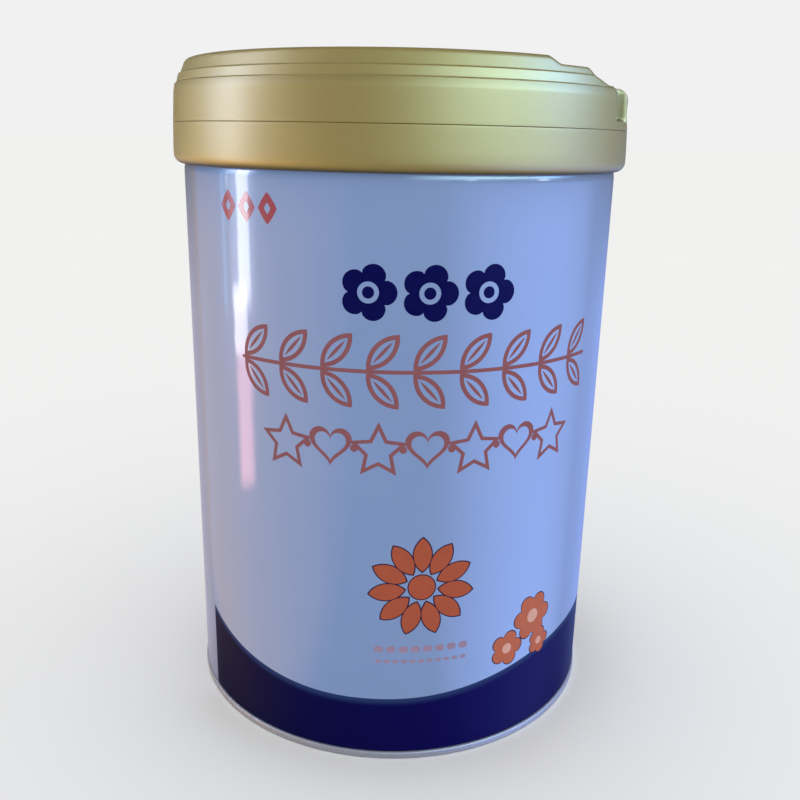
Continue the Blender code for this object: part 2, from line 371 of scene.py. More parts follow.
def turned_tree():
    """Turns a profile line, drawn in x and z, once round the axis."""
    tree, given = new_tree("turned skin", {"Columns": "NodeSocketInt", "Finish": "NodeSocketMaterial"})
    add = partial(add_node, tree)
    profile = given["Geometry"]
    size = add("GeometryNodeAttributeDomainSize", {"Geometry": profile}, component="MESH")
    rows = size.outputs["Point Count"]
    across = add("ShaderNodeMath", {0: given["Columns"], 1: 1.0}, operation="ADD")
    grid = add("GeometryNodeMeshGrid", {"Vertices X": across, "Vertices Y": rows})
    index = add("GeometryNodeInputIndex")
    row = add("ShaderNodeMath", {0: index, 1: rows}, operation="MODULO")
    share = add("ShaderNodeMath", {0: index, 1: rows}, operation="DIVIDE")
    column = add("ShaderNodeMath", {0: share}, operation="FLOOR")
    turn = add("ShaderNodeMath", {0: column, 1: given["Columns"]}, operation="DIVIDE")
    azimuth = add("ShaderNodeMath", {0: turn, 1: math.tau}, operation="MULTIPLY")
    sample = add(
        "GeometryNodeSampleIndex",
        {"Geometry": profile, "Index": row, "Value": add("GeometryNodeInputPosition")},
        data_type="FLOAT_VECTOR",
        domain="POINT",
    )
    parts = add("ShaderNodeSeparateXYZ", {0: sample}).outputs
    place = round_the_axis(add, parts["X"], azimuth, parts["Z"])
    placed = add("GeometryNodeSetPosition", {"Geometry": grid, "Position": place})
    merged = add("GeometryNodeMergeByDistance", {"Geometry": placed, "Distance": WELD_DISTANCE})
    real = add("GeometryNodeRealizeInstances", {"Geometry": merged})
    finished = add("GeometryNodeSetMaterial", {"Geometry": real, "Material": given["Finish"]})
    add("NodeGroupOutput", {"Geometry": finished})
    return tree


def print_tree():
    """Copies a flat motif along a row, gives it a film's thickness and wraps it on the wall."""
    tree, given = new_tree(
        "print row",
        {
            "Copies": "NodeSocketInt",
            "Pitch": "NodeSocketFloat",
            "Azimuth": "NodeSocketFloat",
            "Height": "NodeSocketFloat",
            "Wall radius": "NodeSocketFloat",
            "Film": "NodeSocketFloat",
            "Sink": "NodeSocketFloat",
            "Ink": "NodeSocketMaterial",
        },
    )
    add = partial(add_node, tree)
    gaps = add("ShaderNodeMath", {0: given["Copies"], 1: -1.0}, operation="ADD")
    length = add("ShaderNodeMath", {0: gaps, 1: given["Pitch"]}, operation="MULTIPLY")
    first = add("ShaderNodeMath", {0: length, 1: -0.5}, operation="MULTIPLY")
    start = add("ShaderNodeCombineXYZ", {0: first})
    step = add("ShaderNodeCombineXYZ", {0: given["Pitch"]})
    line = add(
        "GeometryNodeMeshLine",
        {"Count": given["Copies"], "Start Location": start, "Offset": step},
        mode="OFFSET",
    )
    copies = add("GeometryNodeInstanceOnPoints", {"Points": line, "Instance": given["Geometry"]})
    flat = add("GeometryNodeRealizeInstances", {"Geometry": copies})
    depth = add("ShaderNodeMath", {0: given["Film"], 1: given["Sink"]}, operation="ADD")
    up = add("ShaderNodeCombineXYZ", {2: 1.0})
    raised = add(
        "GeometryNodeExtrudeMesh",
        {"Mesh": flat, "Offset": up, "Offset Scale": depth, "Individual": False},
        mode="FACES",
    )
    under = add("GeometryNodeFlipFaces", {"Mesh": flat})
    slab = add("GeometryNodeJoinGeometry")
    tree.links.new(raised.outputs["Mesh"], slab.inputs[0])
    tree.links.new(under.outputs[0], slab.inputs[0])
    merged = add("GeometryNodeMergeByDistance", {"Geometry": slab, "Distance": WELD_DISTANCE})
    parts = add("ShaderNodeSeparateXYZ", {0: add("GeometryNodeInputPosition")}).outputs
    arc = add("ShaderNodeMath", {0: parts["X"], 1: given["Wall radius"]}, operation="DIVIDE")
    azimuth = add("ShaderNodeMath", {0: arc, 1: given["Azimuth"]}, operation="ADD")
    height = add("ShaderNodeMath", {0: parts["Y"], 1: given["Height"]}, operation="ADD")
    floor = add("ShaderNodeMath", {0: given["Wall radius"], 1: given["Sink"]}, operation="SUBTRACT")
    radius = add("ShaderNodeMath", {0: floor, 1: parts["Z"]}, operation="ADD")
    place = round_the_axis(add, radius, azimuth, height)
    wrapped = add("GeometryNodeSetPosition", {"Geometry": merged, "Position": place})
    real = add("GeometryNodeRealizeInstances", {"Geometry": wrapped})
    finished = add("GeometryNodeSetMaterial", {"Geometry": real, "Material": given["Ink"]})
    add("NodeGroupOutput", {"Geometry": finished})
    return tree


def turned(name, profile, tree, material):
    """A piece turned from a profile that runs from axis to axis."""
    points = [(r, 0.0, z) for r, z in profile]
    edges = [(index, index + 1) for index in range(len(points) - 1)]
    mesh = bpy.data.meshes.new(name)
    mesh.from_pydata(points, edges, [])
    obj = link_object(name, mesh)
    run_tree(obj, tree, {"Columns": COLUMNS, "Finish": material})
    return settle(obj)


# Materials

VARNISH = {"Coat Weight": 1.0, "Coat Roughness": 0.07, "Coat IOR": 1.5, "Specular IOR Level": 0.1}
DULL_INK = {"Coat Weight": 0.03, "Coat Roughness": 0.2, "Specular IOR Level": 0.02}
# Tinplate is sold with a film of oil and oxide, which dulls its mirror.
TIN_METALLIC = 0.25


def new_material(name, values):
    """A material, a function that adds nodes to it, and its shader."""
    material = bpy.data.materials.new(name)
    material.use_nodes = True
    tree = material.node_tree
    shader = tree.nodes["Principled BSDF"]
    fill(shader, values)
    return material, partial(add_node, tree), shader


def level_varnish(add, shader, point):
    """Varnish is never quite level: soft waves about 6 mm across, and a fine orange peel."""
    waves = add("ShaderNodeTexNoise", {"Vector": point, "Scale": 160.0, "Detail": 1.0})
    peel = add("ShaderNodeTexNoise", {"Vector": point, "Scale": 900.0, "Detail": 1.0})
    low = add("ShaderNodeBump", {"Height": waves, "Strength": 0.03, "Distance": 1.0 * MM})
    both = add(
        "ShaderNodeBump",
        {"Height": peel, "Strength": 0.02, "Distance": 0.3 * MM, "Normal": low},
    )
    fill(shader, {"Coat Normal": both})


def printed_tinplate():
    """Lithographed tinplate: offset inks on a white base coat, under clear gloss varnish.

    The eye sees a cool periwinkle ground with mirror-like streaks on it, and a dull navy
    field with a soft lighter edge. Beside the weld the sheet is left bare."""
    material, add, shader = new_material("lithographed tinplate", VARNISH)
    point = add("ShaderNodeTexCoord").outputs["Object"]
    parts = add("ShaderNodeSeparateXYZ", {0: point}).outputs
    front = add("ShaderNodeMath", {0: parts["Y"], 1: -1.0}, operation="MULTIPLY")
    angle = add("ShaderNodeMath", {0: parts["X"], 1: front}, operation="ARCTAN2")
    degrees = add("ShaderNodeMath", {0: angle}, operation="DEGREES")
    past = add("ShaderNodeMath", {0: degrees, 1: MARGIN_END}, operation="LESS_THAN")
    turn = add("ShaderNodeMath", {0: past, 1: 360.0}, operation="MULTIPLY")
    azimuth = add("ShaderNodeMath", {0: degrees, 1: turn}, operation="ADD")
    height = add("ShaderNodeMath", {0: parts["Z"], 1: MM}, operation="DIVIDE")

    # The field's top edge: lowest at the front and at the back, highest at its two ends
    back_end = 360.0 + MARGIN_END
    sweeps = (
        (FIELD_SAG, FIELD_RIGHT_TOP, FIELD_RIGHT_RISE, "SMOOTHERSTEP", 1.0),
        (FIELD_RIGHT_TOP, FIELD_BACK_SAG, -FIELD_RIGHT_RISE, "SMOOTHERSTEP", 1.0),
        (FIELD_SAG, FIELD_START, FIELD_LEFT_RISE, "LINEAR", FIELD_LEFT_POWER),
        (FIELD_BACK_SAG, back_end, FIELD_LEFT_RISE, "LINEAR", FIELD_LEFT_POWER),
    )
    edge = FIELD_LOW
    for start, end, rise, easing, power in sweeps:
        share = add(
            "ShaderNodeMapRange",
            {"Value": azimuth, "From Min": start, "From Max": end},
            interpolation_type=easing,
        )
        curve = add("ShaderNodeMath", {0: share, 1: power}, operation="POWER")
        sweep = add("ShaderNodeMath", {0: curve, 1: rise}, operation="MULTIPLY")
        edge = add("ShaderNodeMath", {0: edge, 1: sweep}, operation="ADD")
    depth = add("ShaderNodeMath", {0: edge, 1: height}, operation="SUBTRACT")
    under = add(
        "ShaderNodeMapRange",
        {"Value": depth, "From Min": -0.15, "From Max": 0.15},
        interpolation_type="SMOOTHSTEP",
    )
    beyond = add(
        "ShaderNodeMapRange",
        {"Value": azimuth, "From Min": FIELD_START - 0.1, "From Max": FIELD_START + 0.1},
    )
    in_field = add("ShaderNodeMath", {0: under, 1: beyond}, operation="MULTIPLY")
    light_edge = add(
        "ShaderNodeMapRange",
        {"Value": depth, "From Min": 0.3, "From Max": 2.6, "To Min": 1.0, "To Max": 0.0},
        interpolation_type="SMOOTHSTEP",
    )
    bare = add("ShaderNodeMath", {0: azimuth, 1: PANEL_END}, operation="LESS_THAN")

    # The ground's ink varies a little, in clouds about 20 mm across.
    mottle = add("ShaderNodeTexNoise", {"Vector": point, "Scale": 45.0, "Detail": 3.0})
    ground = add("ShaderNodeMix", {0: mottle, 6: srgb("8099C9"), 7: srgb("859DCC")}, data_type="RGBA")
    panel = add("ShaderNodeMix", {0: beyond, 6: srgb("8A91AB"), 7: ground}, data_type="RGBA")
    # The field is a darker navy at its left end than towards the right.
    along = add("ShaderNodeMapRange", {"Value": azimuth, "From Min": -45.0, "From Max": 25.0})
    deep = add("ShaderNodeMix", {0: along, 6: srgb("090B37"), 7: srgb("0E0A55")}, data_type="RGBA")
    navy = add("ShaderNodeMix", {0: light_edge, 6: deep, 7: srgb("27396A")}, data_type="RGBA")
    printed = add("ShaderNodeMix", {0: in_field, 6: panel, 7: navy}, data_type="RGBA")
    colour = add("ShaderNodeMix", {0: bare, 6: printed, 7: srgb("B9BABD")}, data_type="RGBA")
    rough = add("ShaderNodeMapRange", {"Value": mottle, "To Min": 0.28, "To Max": 0.38})
    metal = add("ShaderNodeMath", {0: bare, 1: TIN_METALLIC}, operation="MULTIPLY")
    fill(shader, {"Base Color": colour, "Metallic": metal, "Roughness": rough})
    # The dark field is printed over the varnish, so it is dull.
    for socket in ("Coat Weight", "Specular IOR Level"):
        gloss = VARNISH[socket]
        dulled = add("ShaderNodeMapRange", {"Value": in_field, "To Min": gloss, "To Max": 0.02})
        fill(shader, {socket: dulled})
    level_varnish(add, shader, point)
    return material


def offset_ink(name, code, finish):
    """An offset ink: flat colour, under the wall's clear varnish or dull on top of it."""
    material, add, shader = new_material(name, {"Roughness": 0.4, **finish})
    point = add("ShaderNodeTexCoord").outputs["Object"]
    # The ink's density drifts a little, over about 3 mm.
    grain = add("ShaderNodeTexNoise", {"Vector": point, "Scale": 350.0, "Detail": 2.0})
    full = srgb(code)
    thin = (*(min(1.0, channel * 1.18 + 0.004) for channel in full[:3]), 1.0)
    colour = add("ShaderNodeMix", {0: grain, 6: full, 7: thin}, data_type="RGBA")
    fill(shader, {"Base Color": colour})
    level_varnish(add, shader, point)
    return material


def gold_plastic():
    """Moulded polypropylene with gold pearl pigment.

    The eye sees satin gold with a faint flake sparkle, under a soft whitish sheen."""
    material, add, shader = new_material(
        "gold pearl polypropylene",
        {"Metallic": 0.25, "Specular IOR Level": 0.3, "Coat Roughness": 0.42, "Coat IOR": 1.6},
    )
    point = add("ShaderNodeTexCoord").outputs["Object"]
    flow = add("ShaderNodeTexNoise", {"Vector": point, "Scale": 60.0, "Detail": 3.0})
    # Real flakes are about 0.04 mm across; these are 0.4 mm, so that they show at all.
    flake = add("ShaderNodeTexVoronoi", {"Vector": point, "Scale": 2500.0})
    tint = add("ShaderNodeMix", {0: flow, 6: srgb("958039"), 7: srgb("9D8840")}, data_type="RGBA")
    # Painted shade: under the ring's edge and inside the finger recesses, the gold is darkened and its
    # coat dulled.
    height = add("ShaderNodeSeparateXYZ", {0: point}).outputs["Z"]
    under = add(
        "ShaderNodeMapRange",
        {"Value": height, "From Min": RING_BOTTOM, "From Max": RING_SHADE_TOP},
        interpolation_type="SMOOTHSTEP",
    )
    flat = add("ShaderNodeVectorMath", {0: point, 1: (1.0, 1.0, 0.0)}, operation="MULTIPLY")
    reach = add("ShaderNodeVectorMath", {0: flat}, operation="LENGTH").outputs["Value"]
    out = add(
        "ShaderNodeMapRange",
        {
            "Value": reach,
            "From Min": RECESS_SHADE_INNER,
            "From Max": RECESS_SHADE_OUTER,
            "To Min": 0.35,
        },
    )
    top = add(
        "ShaderNodeMapRange",
        {"Value": height, "From Min": RECESS_SHADE_HIGH, "From Max": RECESS_SHADE_END},
    )
    clear = add("ShaderNodeMath", {0: out, 1: top}, operation="MAXIMUM")
    free_of_painted_shade = add("ShaderNodeMath", {0: under, 1: clear}, operation="MULTIPLY")
    # The painted shade's colour is a dark gold, mixed in where the shade falls.
    tint_with_painted_shade = add("ShaderNodeMix", {0: free_of_painted_shade, 6: srgb("5C4C26"), 7: tint}, data_type="RGBA")
    gloss = add("ShaderNodeMapRange", {"Value": free_of_painted_shade, "To Min": 0.1, "To Max": 1.0})
    rough = add("ShaderNodeMapRange", {"Value": flake.outputs["Color"], "To Min": 0.50, "To Max": 0.62})
    bump = add("ShaderNodeBump", {"Height": flow, "Strength": 0.04, "Distance": 1.0 * MM})
    fill(shader, {"Base Color": tint_with_painted_shade, "Coat Weight": gloss, "Roughness": rough, "Normal": bump})
    return material


def bare_tinplate():
    """Rolled steel with a bright tin coat: grey metal with fine lines from the rolls."""
    material, add, shader = new_material(
        "bare tinplate", {"Metallic": TIN_METALLIC, "Specular IOR Level": 0.3}
    )
    point = add("ShaderNodeTexCoord").outputs["Object"]
    # Real roll lines are about 0.02 mm apart; these are 0.3 mm, so that they show at all.
    stretched = add("ShaderNodeMapping", {"Vector": point, "Scale": (3000.0, 60.0, 3000.0)})
    lines = add("ShaderNodeTexNoise", {"Vector": stretched, "Scale": 1.0, "Detail": 2.0})
    tint = add("ShaderNodeMix", {0: lines, 6: srgb("9597A6"), 7: srgb("A8AAB8")}, data_type="RGBA")
    rough = add("ShaderNodeMapRange", {"Value": lines, "To Min": 0.42, "To Max": 0.56})
    bump = add("ShaderNodeBump", {"Height": lines, "Strength": 0.08, "Distance": 0.05 * MM})
    fill(shader, {"Base Color": tint, "Roughness": rough, "Normal": bump})
    return material


# The can

def wall_profile():
    points = filleted([(0.0, BODY_TOP, 0.0), (NECK_RADIUS, BODY_TOP, 0.0)])
    neck_steps = 24
    for step in range(neck_steps + 1):
        share = step / neck_steps
        ease = math.sin(share * math.pi / 2.0)
        radius = NECK_RADIUS + (BODY_RADIUS - NECK_RADIUS) * ease
        points.append(Vector((radius, NECK_START + (SHOULDER_START - NECK_START) * share)))
    curl_steps = 12
    for step in range(curl_steps + 1):
        angle = math.pi / 2.0 * step / curl_steps
        radius = BODY_RADIUS - FOOT_CURL * (1.0 - math.cos(angle))
        points.append(Vector((radius, BODY_BOTTOM + FOOT_CURL_HEIGHT * (1.0 - math.sin(angle)))))
    points.append(Vector((POCKET_RADIUS, BODY_BOTTOM)))
    points.append(Vector((POCKET_RADIUS, POCKET_TOP)))
    points.append(Vector((0.0, POCKET_TOP)))
    return spaced(points, lambda r, z: 6.0 * MM)


def base_profile():
    panel_edge = COUNTERSINK_RADIUS - COUNTERSINK_ROUND - COUNTERSINK_WIDTH
    slope = COUNTERSINK_DEPTH - PANEL_DEPTH
    corners = [
        (0.0, SPIGOT_TOP, 0.0),
        (SPIGOT_RADIUS, SPIGOT_TOP, 0.2 * MM),
        (SPIGOT_RADIUS, SEAM_HEIGHT, 0.1 * MM),
        (SEAM_RADIUS, SEAM_HEIGHT, SEAM_ROUND),
        (SEAM_RADIUS, 0.0, SEAM_ROUND),
        (SEAM_INNER_RADIUS, 0.0, SEAM_ROUND),
        (COUNTERSINK_RADIUS, COUNTERSINK_DEPTH, COUNTERSINK_ROUND),
        (panel_edge + slope, COUNTERSINK_DEPTH, 0.4 * MM),
        (panel_edge, PANEL_DEPTH, 0.4 * MM),
    ]
    for middle in PANEL_BEAD_RADII:
        half = PANEL_BEAD_WIDTH / 2.0
        corners.append((middle + half, PANEL_DEPTH, 0.6 * MM))
        corners.append((middle + half / 2.0, PANEL_DEPTH + PANEL_BEAD_RISE, 0.6 * MM))
        corners.append((middle - half / 2.0, PANEL_DEPTH + PANEL_BEAD_RISE, 0.6 * MM))
        corners.append((middle - half, PANEL_DEPTH, 0.6 * MM))
    corners.append((0.0, PANEL_DEPTH, 0.0))
    return spaced(filleted(corners), lambda r, z: 3.0 * MM)


def weld_seam(material):
    """The lap weld up the can's side: a low flat bead, from the seam to under the ring."""
    section = ((-0.5, -0.4), (-0.42, 0.6), (-0.25, 1.0), (0.25, 1.0), (0.42, 0.6), (0.5, -0.4))
    loops = []
    for z in np.linspace(BODY_BOTTOM + FOOT_CURL_HEIGHT, SHOULDER_START, WELD_LOOPS):
        loop = []
        for across, rise in section:
            angle = math.radians(WELD_AZIMUTH) + across * WELD_WIDTH / BODY_RADIUS
            loop.append((BODY_RADIUS + rise * WELD_RISE, angle, z))
        loops.append(loop)
    return settle(swept("side_weld", loops), material)


# The lid

def smooth_step(value, low, high):
    share = np.clip((value - low) / (high - low), 0.0, 1.0)
    return share * share * (3.0 - 2.0 * share)


def columns_near(edges, reach, step):
    """Extra azimuths around each edge."""
    count = int(2.0 * reach / step) + 1
    return np.concatenate([np.linspace(edge - reach, edge + reach, count) for edge in edges])


def whole_turn(*sets):
    """Azimuths from several sets, sorted, once each within a turn."""
    values = np.concatenate(sets) % 360.0
    return np.unique(np.round(values, 3))


def lid_ring(material):
    """The clip-on ring, its top edge notched for the hinge flap."""
    corners = [
        (RING_INNER_RADIUS, RING_LIP_TOP, 0.2 * MM),
        (RING_LIP_RADIUS, RING_LIP_TOP, 0.2 * MM),
        (RING_LIP_RADIUS, RING_TOP, 0.1 * MM),
        (RING_TOP_RADIUS, RING_TOP, LID_EDGE_ROUND),
        (RING_WIDE_RADIUS, RING_WIDE_HEIGHT, 10.0 * MM),
        (RING_WIDE_RADIUS, RING_BOTTOM, RING_ROUND),
        (RING_MOUTH_RADIUS, RING_BOTTOM, 0.1 * MM),
        (RING_INNER_RADIUS, NECK_START, 0.3 * MM),
    ]
    section = np.array(spaced(filleted(corners, True), lambda r, z: 1.0 * MM, True))
    notch_half = HINGE_HALF_ANGLE + math.degrees(LID_CLEARANCE / BODY_RADIUS)
    edges = (HINGE_AZIMUTH - notch_half, HINGE_AZIMUTH + notch_half)
    azimuths = whole_turn(np.arange(0.0, 360.0, 1.0), columns_near(edges, 0.3, 0.1))
    offset = np.abs((azimuths - HINGE_AZIMUTH + 180.0) % 360.0 - 180.0)
    in_notch = 1.0 - smooth_step(offset, notch_half - 0.1, notch_half + 0.1)
    radii = np.repeat(section[:, :1], len(azimuths), axis=1)
    heights = np.repeat(section[:, 1:], len(azimuths), axis=1)
    floor = RING_TOP - HINGE_FLAP_DROP
    cut = np.maximum(heights - floor, 0.0) * in_notch[None, :]
    return settle(polar_grid("lid_ring_skin", azimuths, radii, heights - cut, True), material)


def thumb_side_height(distance):
    """Height of the cut-away top at a distance out towards the tab, creases softened."""
    start_slope = (THUMB_SIDE_HEIGHTS[0] - THUMB_SIDE_HEIGHTS[1]) / (
        THUMB_SIDE_DISTANCES[1] - THUMB_SIDE_DISTANCES[0]
    )
    distances = np.array((THUMB_SIDE_DISTANCES[0] - THUMB_SIDE_LEAD, *THUMB_SIDE_DISTANCES)) * MM
    heights = np.array(
        (THUMB_SIDE_HEIGHTS[0] + THUMB_SIDE_LEAD * start_slope, *THUMB_SIDE_HEIGHTS)
    ) * MM
    offsets = np.linspace(-CREASE_SOFTNESS, CREASE_SOFTNESS, 9)
    samples = [np.interp(distance + offset, distances, heights) for offset in offsets]
    return np.mean(samples, axis=0)


def cover_section():
    """The cover's section without its thumb side, from the axis out and back underneath."""
    recess_floor = PLATEAU_HEIGHT - STACK_RECESS_DEPTH
    groove_outer = RING_LIP_RADIUS + LID_CLEARANCE
    groove_inner = RING_INNER_RADIUS - LID_CLEARANCE
    groove_top = RING_LIP_TOP + LID_CLEARANCE
    corners = [
        (0.0, recess_floor, 0.0),
        (STACK_RECESS_RADIUS - 1.0 * MM, recess_floor, 0.0),
        (STACK_RECESS_RADIUS, recess_floor, 0.8 * MM),
        (STACK_RECESS_RADIUS + STACK_RECESS_SLOPE, PLATEAU_HEIGHT, 0.8 * MM),
        (PLATEAU_CORNER_RADIUS, PLATEAU_HEIGHT, PLATEAU_ROUND),
        (UPPER_LEDGE_INNER, UPPER_LEDGE_HEIGHT, LEDGE_ROUND),
        (UPPER_LEDGE_OUTER, UPPER_LEDGE_HEIGHT - LEDGE_FALL, LEDGE_ROUND),
        (LOWER_LEDGE_INNER, LOWER_LEDGE_HEIGHT, 0.75 * LEDGE_ROUND),
        (LOWER_LEDGE_OUTER, LOWER_LEDGE_HEIGHT - LEDGE_FALL, LEDGE_ROUND),
        (COVER_SHOULDER_RADIUS, COVER_SHOULDER_HEIGHT, 4.0 * MM),
        (COVER_FOOT_RADIUS, COVER_BOTTOM, LID_EDGE_ROUND),
        (groove_outer, COVER_BOTTOM, 0.0),
        (groove_outer, groove_top, 0.0),
        (groove_inner, groove_top, 0.0),
        (groove_inner, COVER_BOTTOM, 0.0),
        (0.0, COVER_BOTTOM, 0.0),
    ]

    def limit(r, z):
        if z < COVER_BOTTOM + 0.01 * MM:
            return 12.0 * MM
        if r < STACK_RECESS_RADIUS - 1.0 * MM:
            return 5.0 * MM
        if abs(z - RECESS_BOTTOM) < 1.0 * MM:
            return 0.15 * MM
        if r > PLATEAU_CORNER_RADIUS - 2.0 * MM and z > COVER_SHOULDER_HEIGHT:
            return 0.22 * MM
        return 0.5 * MM

    return np.array(spaced(filleted(corners), limit))


def lid_cover(material):
    """The flip cover: its turned form, then the cut-away thumb side, recesses and scoop."""
    section = cover_section()
    recess_edges = [
        TAB_AZIMUTH + side * half
        for side in (-1.0, 1.0)
        for half in (TAB_HALF_ANGLE, RECESS_HALF_ANGLE)
    ]
    azimuths = whole_turn(
        np.arange(0.0, 360.0, 1.2),
        np.arange(TAB_AZIMUTH - 50.0, TAB_AZIMUTH + 50.0, 0.5),
        columns_near(recess_edges, 1.0, 0.1),
    )
    from_tab = (azimuths - TAB_AZIMUTH + 180.0) % 360.0 - 180.0
    towards_tab = np.cos(np.radians(from_tab))[None, :]
    radii = np.repeat(section[:, :1], len(azimuths), axis=1)
    heights = np.repeat(section[:, 1:], len(azimuths), axis=1)

    # Points that stand above the cut go down to it, round an edge of the mould's radius.
    on_thumb_side = radii * towards_tab > 0.0
    above = heights - thumb_side_height(radii * towards_tab)
    lean = np.clip((above + MOULD_ROUND) / MOULD_ROUND, 0.0, math.pi / 2.0)
    lean = np.where(on_thumb_side, lean, 0.0)
    pulled = radii - MOULD_ROUND * (1.0 - np.cos(lean))
    lowered = thumb_side_height(pulled * towards_tab) - MOULD_ROUND * (1.0 - np.sin(lean))
    heights = np.where(lean > 0.0, np.minimum(lowered, heights), heights)
    radii = np.where(lean > 0.0, pulled, radii)

    # The finger recesses draw the wall in towards its root, and the scoop hollows the tab.
    out_of_root = np.maximum(radii - RECESS_ROOT_RADIUS, 0.0)
    kept = (RECESS_RADIUS - RECESS_ROOT_RADIUS) / (COVER_FOOT_RADIUS - RECESS_ROOT_RADIUS)
    soft = RECESS_SIDE_SOFTNESS
    side = np.abs(from_tab)
    beside_tab = smooth_step(side, TAB_HALF_ANGLE - soft, TAB_HALF_ANGLE + soft)
    past_recess = smooth_step(side, RECESS_HALF_ANGLE - soft, RECESS_HALF_ANGLE + soft)
    above_shelf = smooth_step(
        heights, RECESS_BOTTOM - RECESS_BOTTOM_SOFTNESS, RECESS_BOTTOM + RECESS_BOTTOM_SOFTNESS
    )
    recessed = (beside_tab * (1.0 - past_recess))[None, :] * above_shelf
    radii = radii - out_of_root * (1.0 - kept) * recessed

    rise = np.clip(heights - SCOOP_CENTRE_HEIGHT, -SCOOP_CURVE_RADIUS, SCOOP_CURVE_RADIUS)
    face = SCOOP_FACE_RADIUS + SCOOP_CURVE_RADIUS - np.sqrt(SCOOP_CURVE_RADIUS**2 - rise**2)
    depth = np.maximum(COVER_SHOULDER_RADIUS * towards_tab + SCOOP_WALL_LEAN - face, 0.0)
    share = np.clip(out_of_root / (COVER_SHOULDER_RADIUS - RECESS_ROOT_RADIUS), 0.0, 1.0)
    radii = radii - depth * share * (1.0 - beside_tab)[None, :]
    return settle(polar_grid("lid_cover_skin", azimuths, radii, heights), material)


def hinge_flap(material):
    """The moulded hinge strip that hangs from the cover into the ring's notch."""
    low = COVER_BOTTOM - HINGE_FLAP_DROP
    high = COVER_BOTTOM + HINGE_FLAP_ROOT
    inner = HINGE_FLAP_INNER
    outer = HINGE_FLAP_OUTER
    loops = []
    for offset in np.linspace(-HINGE_HALF_ANGLE, HINGE_HALF_ANGLE, FLAP_LOOPS):
        angle = math.radians(HINGE_AZIMUTH + offset)
        corners = ((inner, low), (outer, low), (outer, high), (inner, high))
        loops.append([(radius, angle, z) for radius, z in corners])
    obj = swept("lid_hinge_flap", loops)
    bevel = obj.modifiers.new("moulded edges", "BEVEL")
    bevel.width = 0.4 * MM
    bevel.segments = 3
    bevel.limit_method = "ANGLE"
    bevel.angle_limit = math.radians(50.0)
    return settle(convert(obj), material)


# Print motifs, flat, with x along the wall and y up

def patch(bm, across, along, place):
    """A grid of quads whose corners place(u, v) gives from shares between 0 and 1."""
    grid = []
    for i in range(across + 1):
        line = []
        for j in range(along + 1):
            x, y = place(i / across, j / along)
            line.append(bm.verts.new((x, y, 0.0)))
        grid.append(line)
    for i in range(across):
        for j in range(along):
            bm.faces.new((grid[i][j], grid[i + 1][j], grid[i + 1][j + 1], grid[i][j + 1]))


def ring_between(bm, x, y, inner_at, outer_at, along, across=2):
    """A closed band round (x, y), between the points that inner_at and outer_at give."""

    def place(u, v):
        inner = inner_at(math.tau * v)
        outer = outer_at(math.tau * v)
        return tuple(
            origin + near + (far - near) * u
            for origin, near, far in zip((x, y), inner, outer)
        )

    patch(bm, across, along, place)


def centre_point(angle):
    return 0.0, 0.0


def polar_outline(radius_at):
    def at(angle):
        return radius_at(angle) * math.cos(angle), radius_at(angle) * math.sin(angle)
    return at


def disc_outline(radius):
    return polar_outline(lambda angle: radius)


def blossom_outline(radius, petals, depth=0.3):
    def at(angle):
        return radius * (1.0 - depth + depth * abs(math.cos(petals * angle / 2.0)) ** 0.7)
    return polar_outline(at)


def star_outline(points, tip, valley):
    half = math.pi / points

    def at(angle):
        turn = (angle - math.pi / 2.0) % (2.0 * half)
        turn = min(turn, 2.0 * half - turn)
        across = tip * math.sin(turn) + valley * math.sin(half - turn)
        return tip * valley * math.sin(half) / across

    return polar_outline(at)


def heart_outline(size):
    """A heart about as wide as its size, after the well-known trigonometric curve."""
    unit = size / 32.0

    def at(angle):
        t = angle + math.pi / 2.0
        x = 16.0 * math.sin(t) ** 3
        y = 13.0 * math.cos(t) - 5.0 * math.cos(2.0 * t) - 2.0 * math.cos(3.0 * t)
        y -= math.cos(4.0 * t)
        return -unit * x, unit * (y + 2.0)

    return at


def lozenge_outline(width, height):
    power = 1.15

    def at(angle):
        x = abs(math.cos(angle)) / (width / 2.0)
        y = abs(math.sin(angle)) / (height / 2.0)
        return (x**power + y**power) ** (-1.0 / power)

    return polar_outline(at)


def leaf_shape(bm, x, y, length, width, turn, stroke=None):
    """A pointed leaf between two arcs, filled, or an outline of an even stroke."""
    curve = (length * length / 4.0 + width * width / 4.0) / width
    sink = curve - width / 2.0
    cosine = math.cos(math.radians(turn))
    sine = math.sin(math.radians(turn))
    along = max(10, math.ceil(length / MM))

    def side(radius, share, sign):
        half_length = math.sqrt(radius * radius - sink * sink)
        angle = math.asin(half_length / radius) * (2.0 * share - 1.0)
        return radius * math.sin(angle), sign * (radius * math.cos(angle) - sink)

    def placed(u, v):
        return x + u * cosine - v * sine, y + u * sine + v * cosine

    def inside(u, v):
        p, q = side(curve, v, 1.0)
        return placed(p, q * (2.0 * u - 1.0))

    if stroke is None:
        patch(bm, 4, along, inside)
        return
    for sign in (-1.0, 1.0):

        def band(u, v, sign=sign):
            return placed(*side(curve - stroke * (1.0 - u), v, sign))

        patch(bm, 2, along, band)


def pill_shape(bm, width, height, along=16):
    """A bar with half round ends, wider than it is high."""
    radius = height / 2.0
    straight = width / 2.0 - radius

    def place(u, v):
        angle = math.pi * (v - 0.5)
        p = straight * (2.0 * v - 1.0) + radius * math.sin(angle)
        over = max(0.0, abs(p) - straight)
        half = math.sqrt(max(0.0, radius * radius - over * over))
        return p, half * (2.0 * u - 1.0)

    patch(bm, 2, along, place)


def draw_title_blossom(bm):
    ring_between(bm, 0.0, 0.0, disc_outline(2.7 * MM), blossom_outline(7.2 * MM, 5), 80, 5)
    ring_between(bm, 0.0, 0.0, centre_point, disc_outline(1.5 * MM), 32)


def draw_leaf_pair(bm):
    for side in (-1.0, 1.0):
        leaf_shape(bm, 0.0, side * 5.0 * MM, 12.4 * MM, 5.6 * MM, side * 48.0, 1.15 * MM)
        leaf_shape(bm, 0.0, side * 5.0 * MM, 7.4 * MM, 0.9 * MM, side * 48.0)


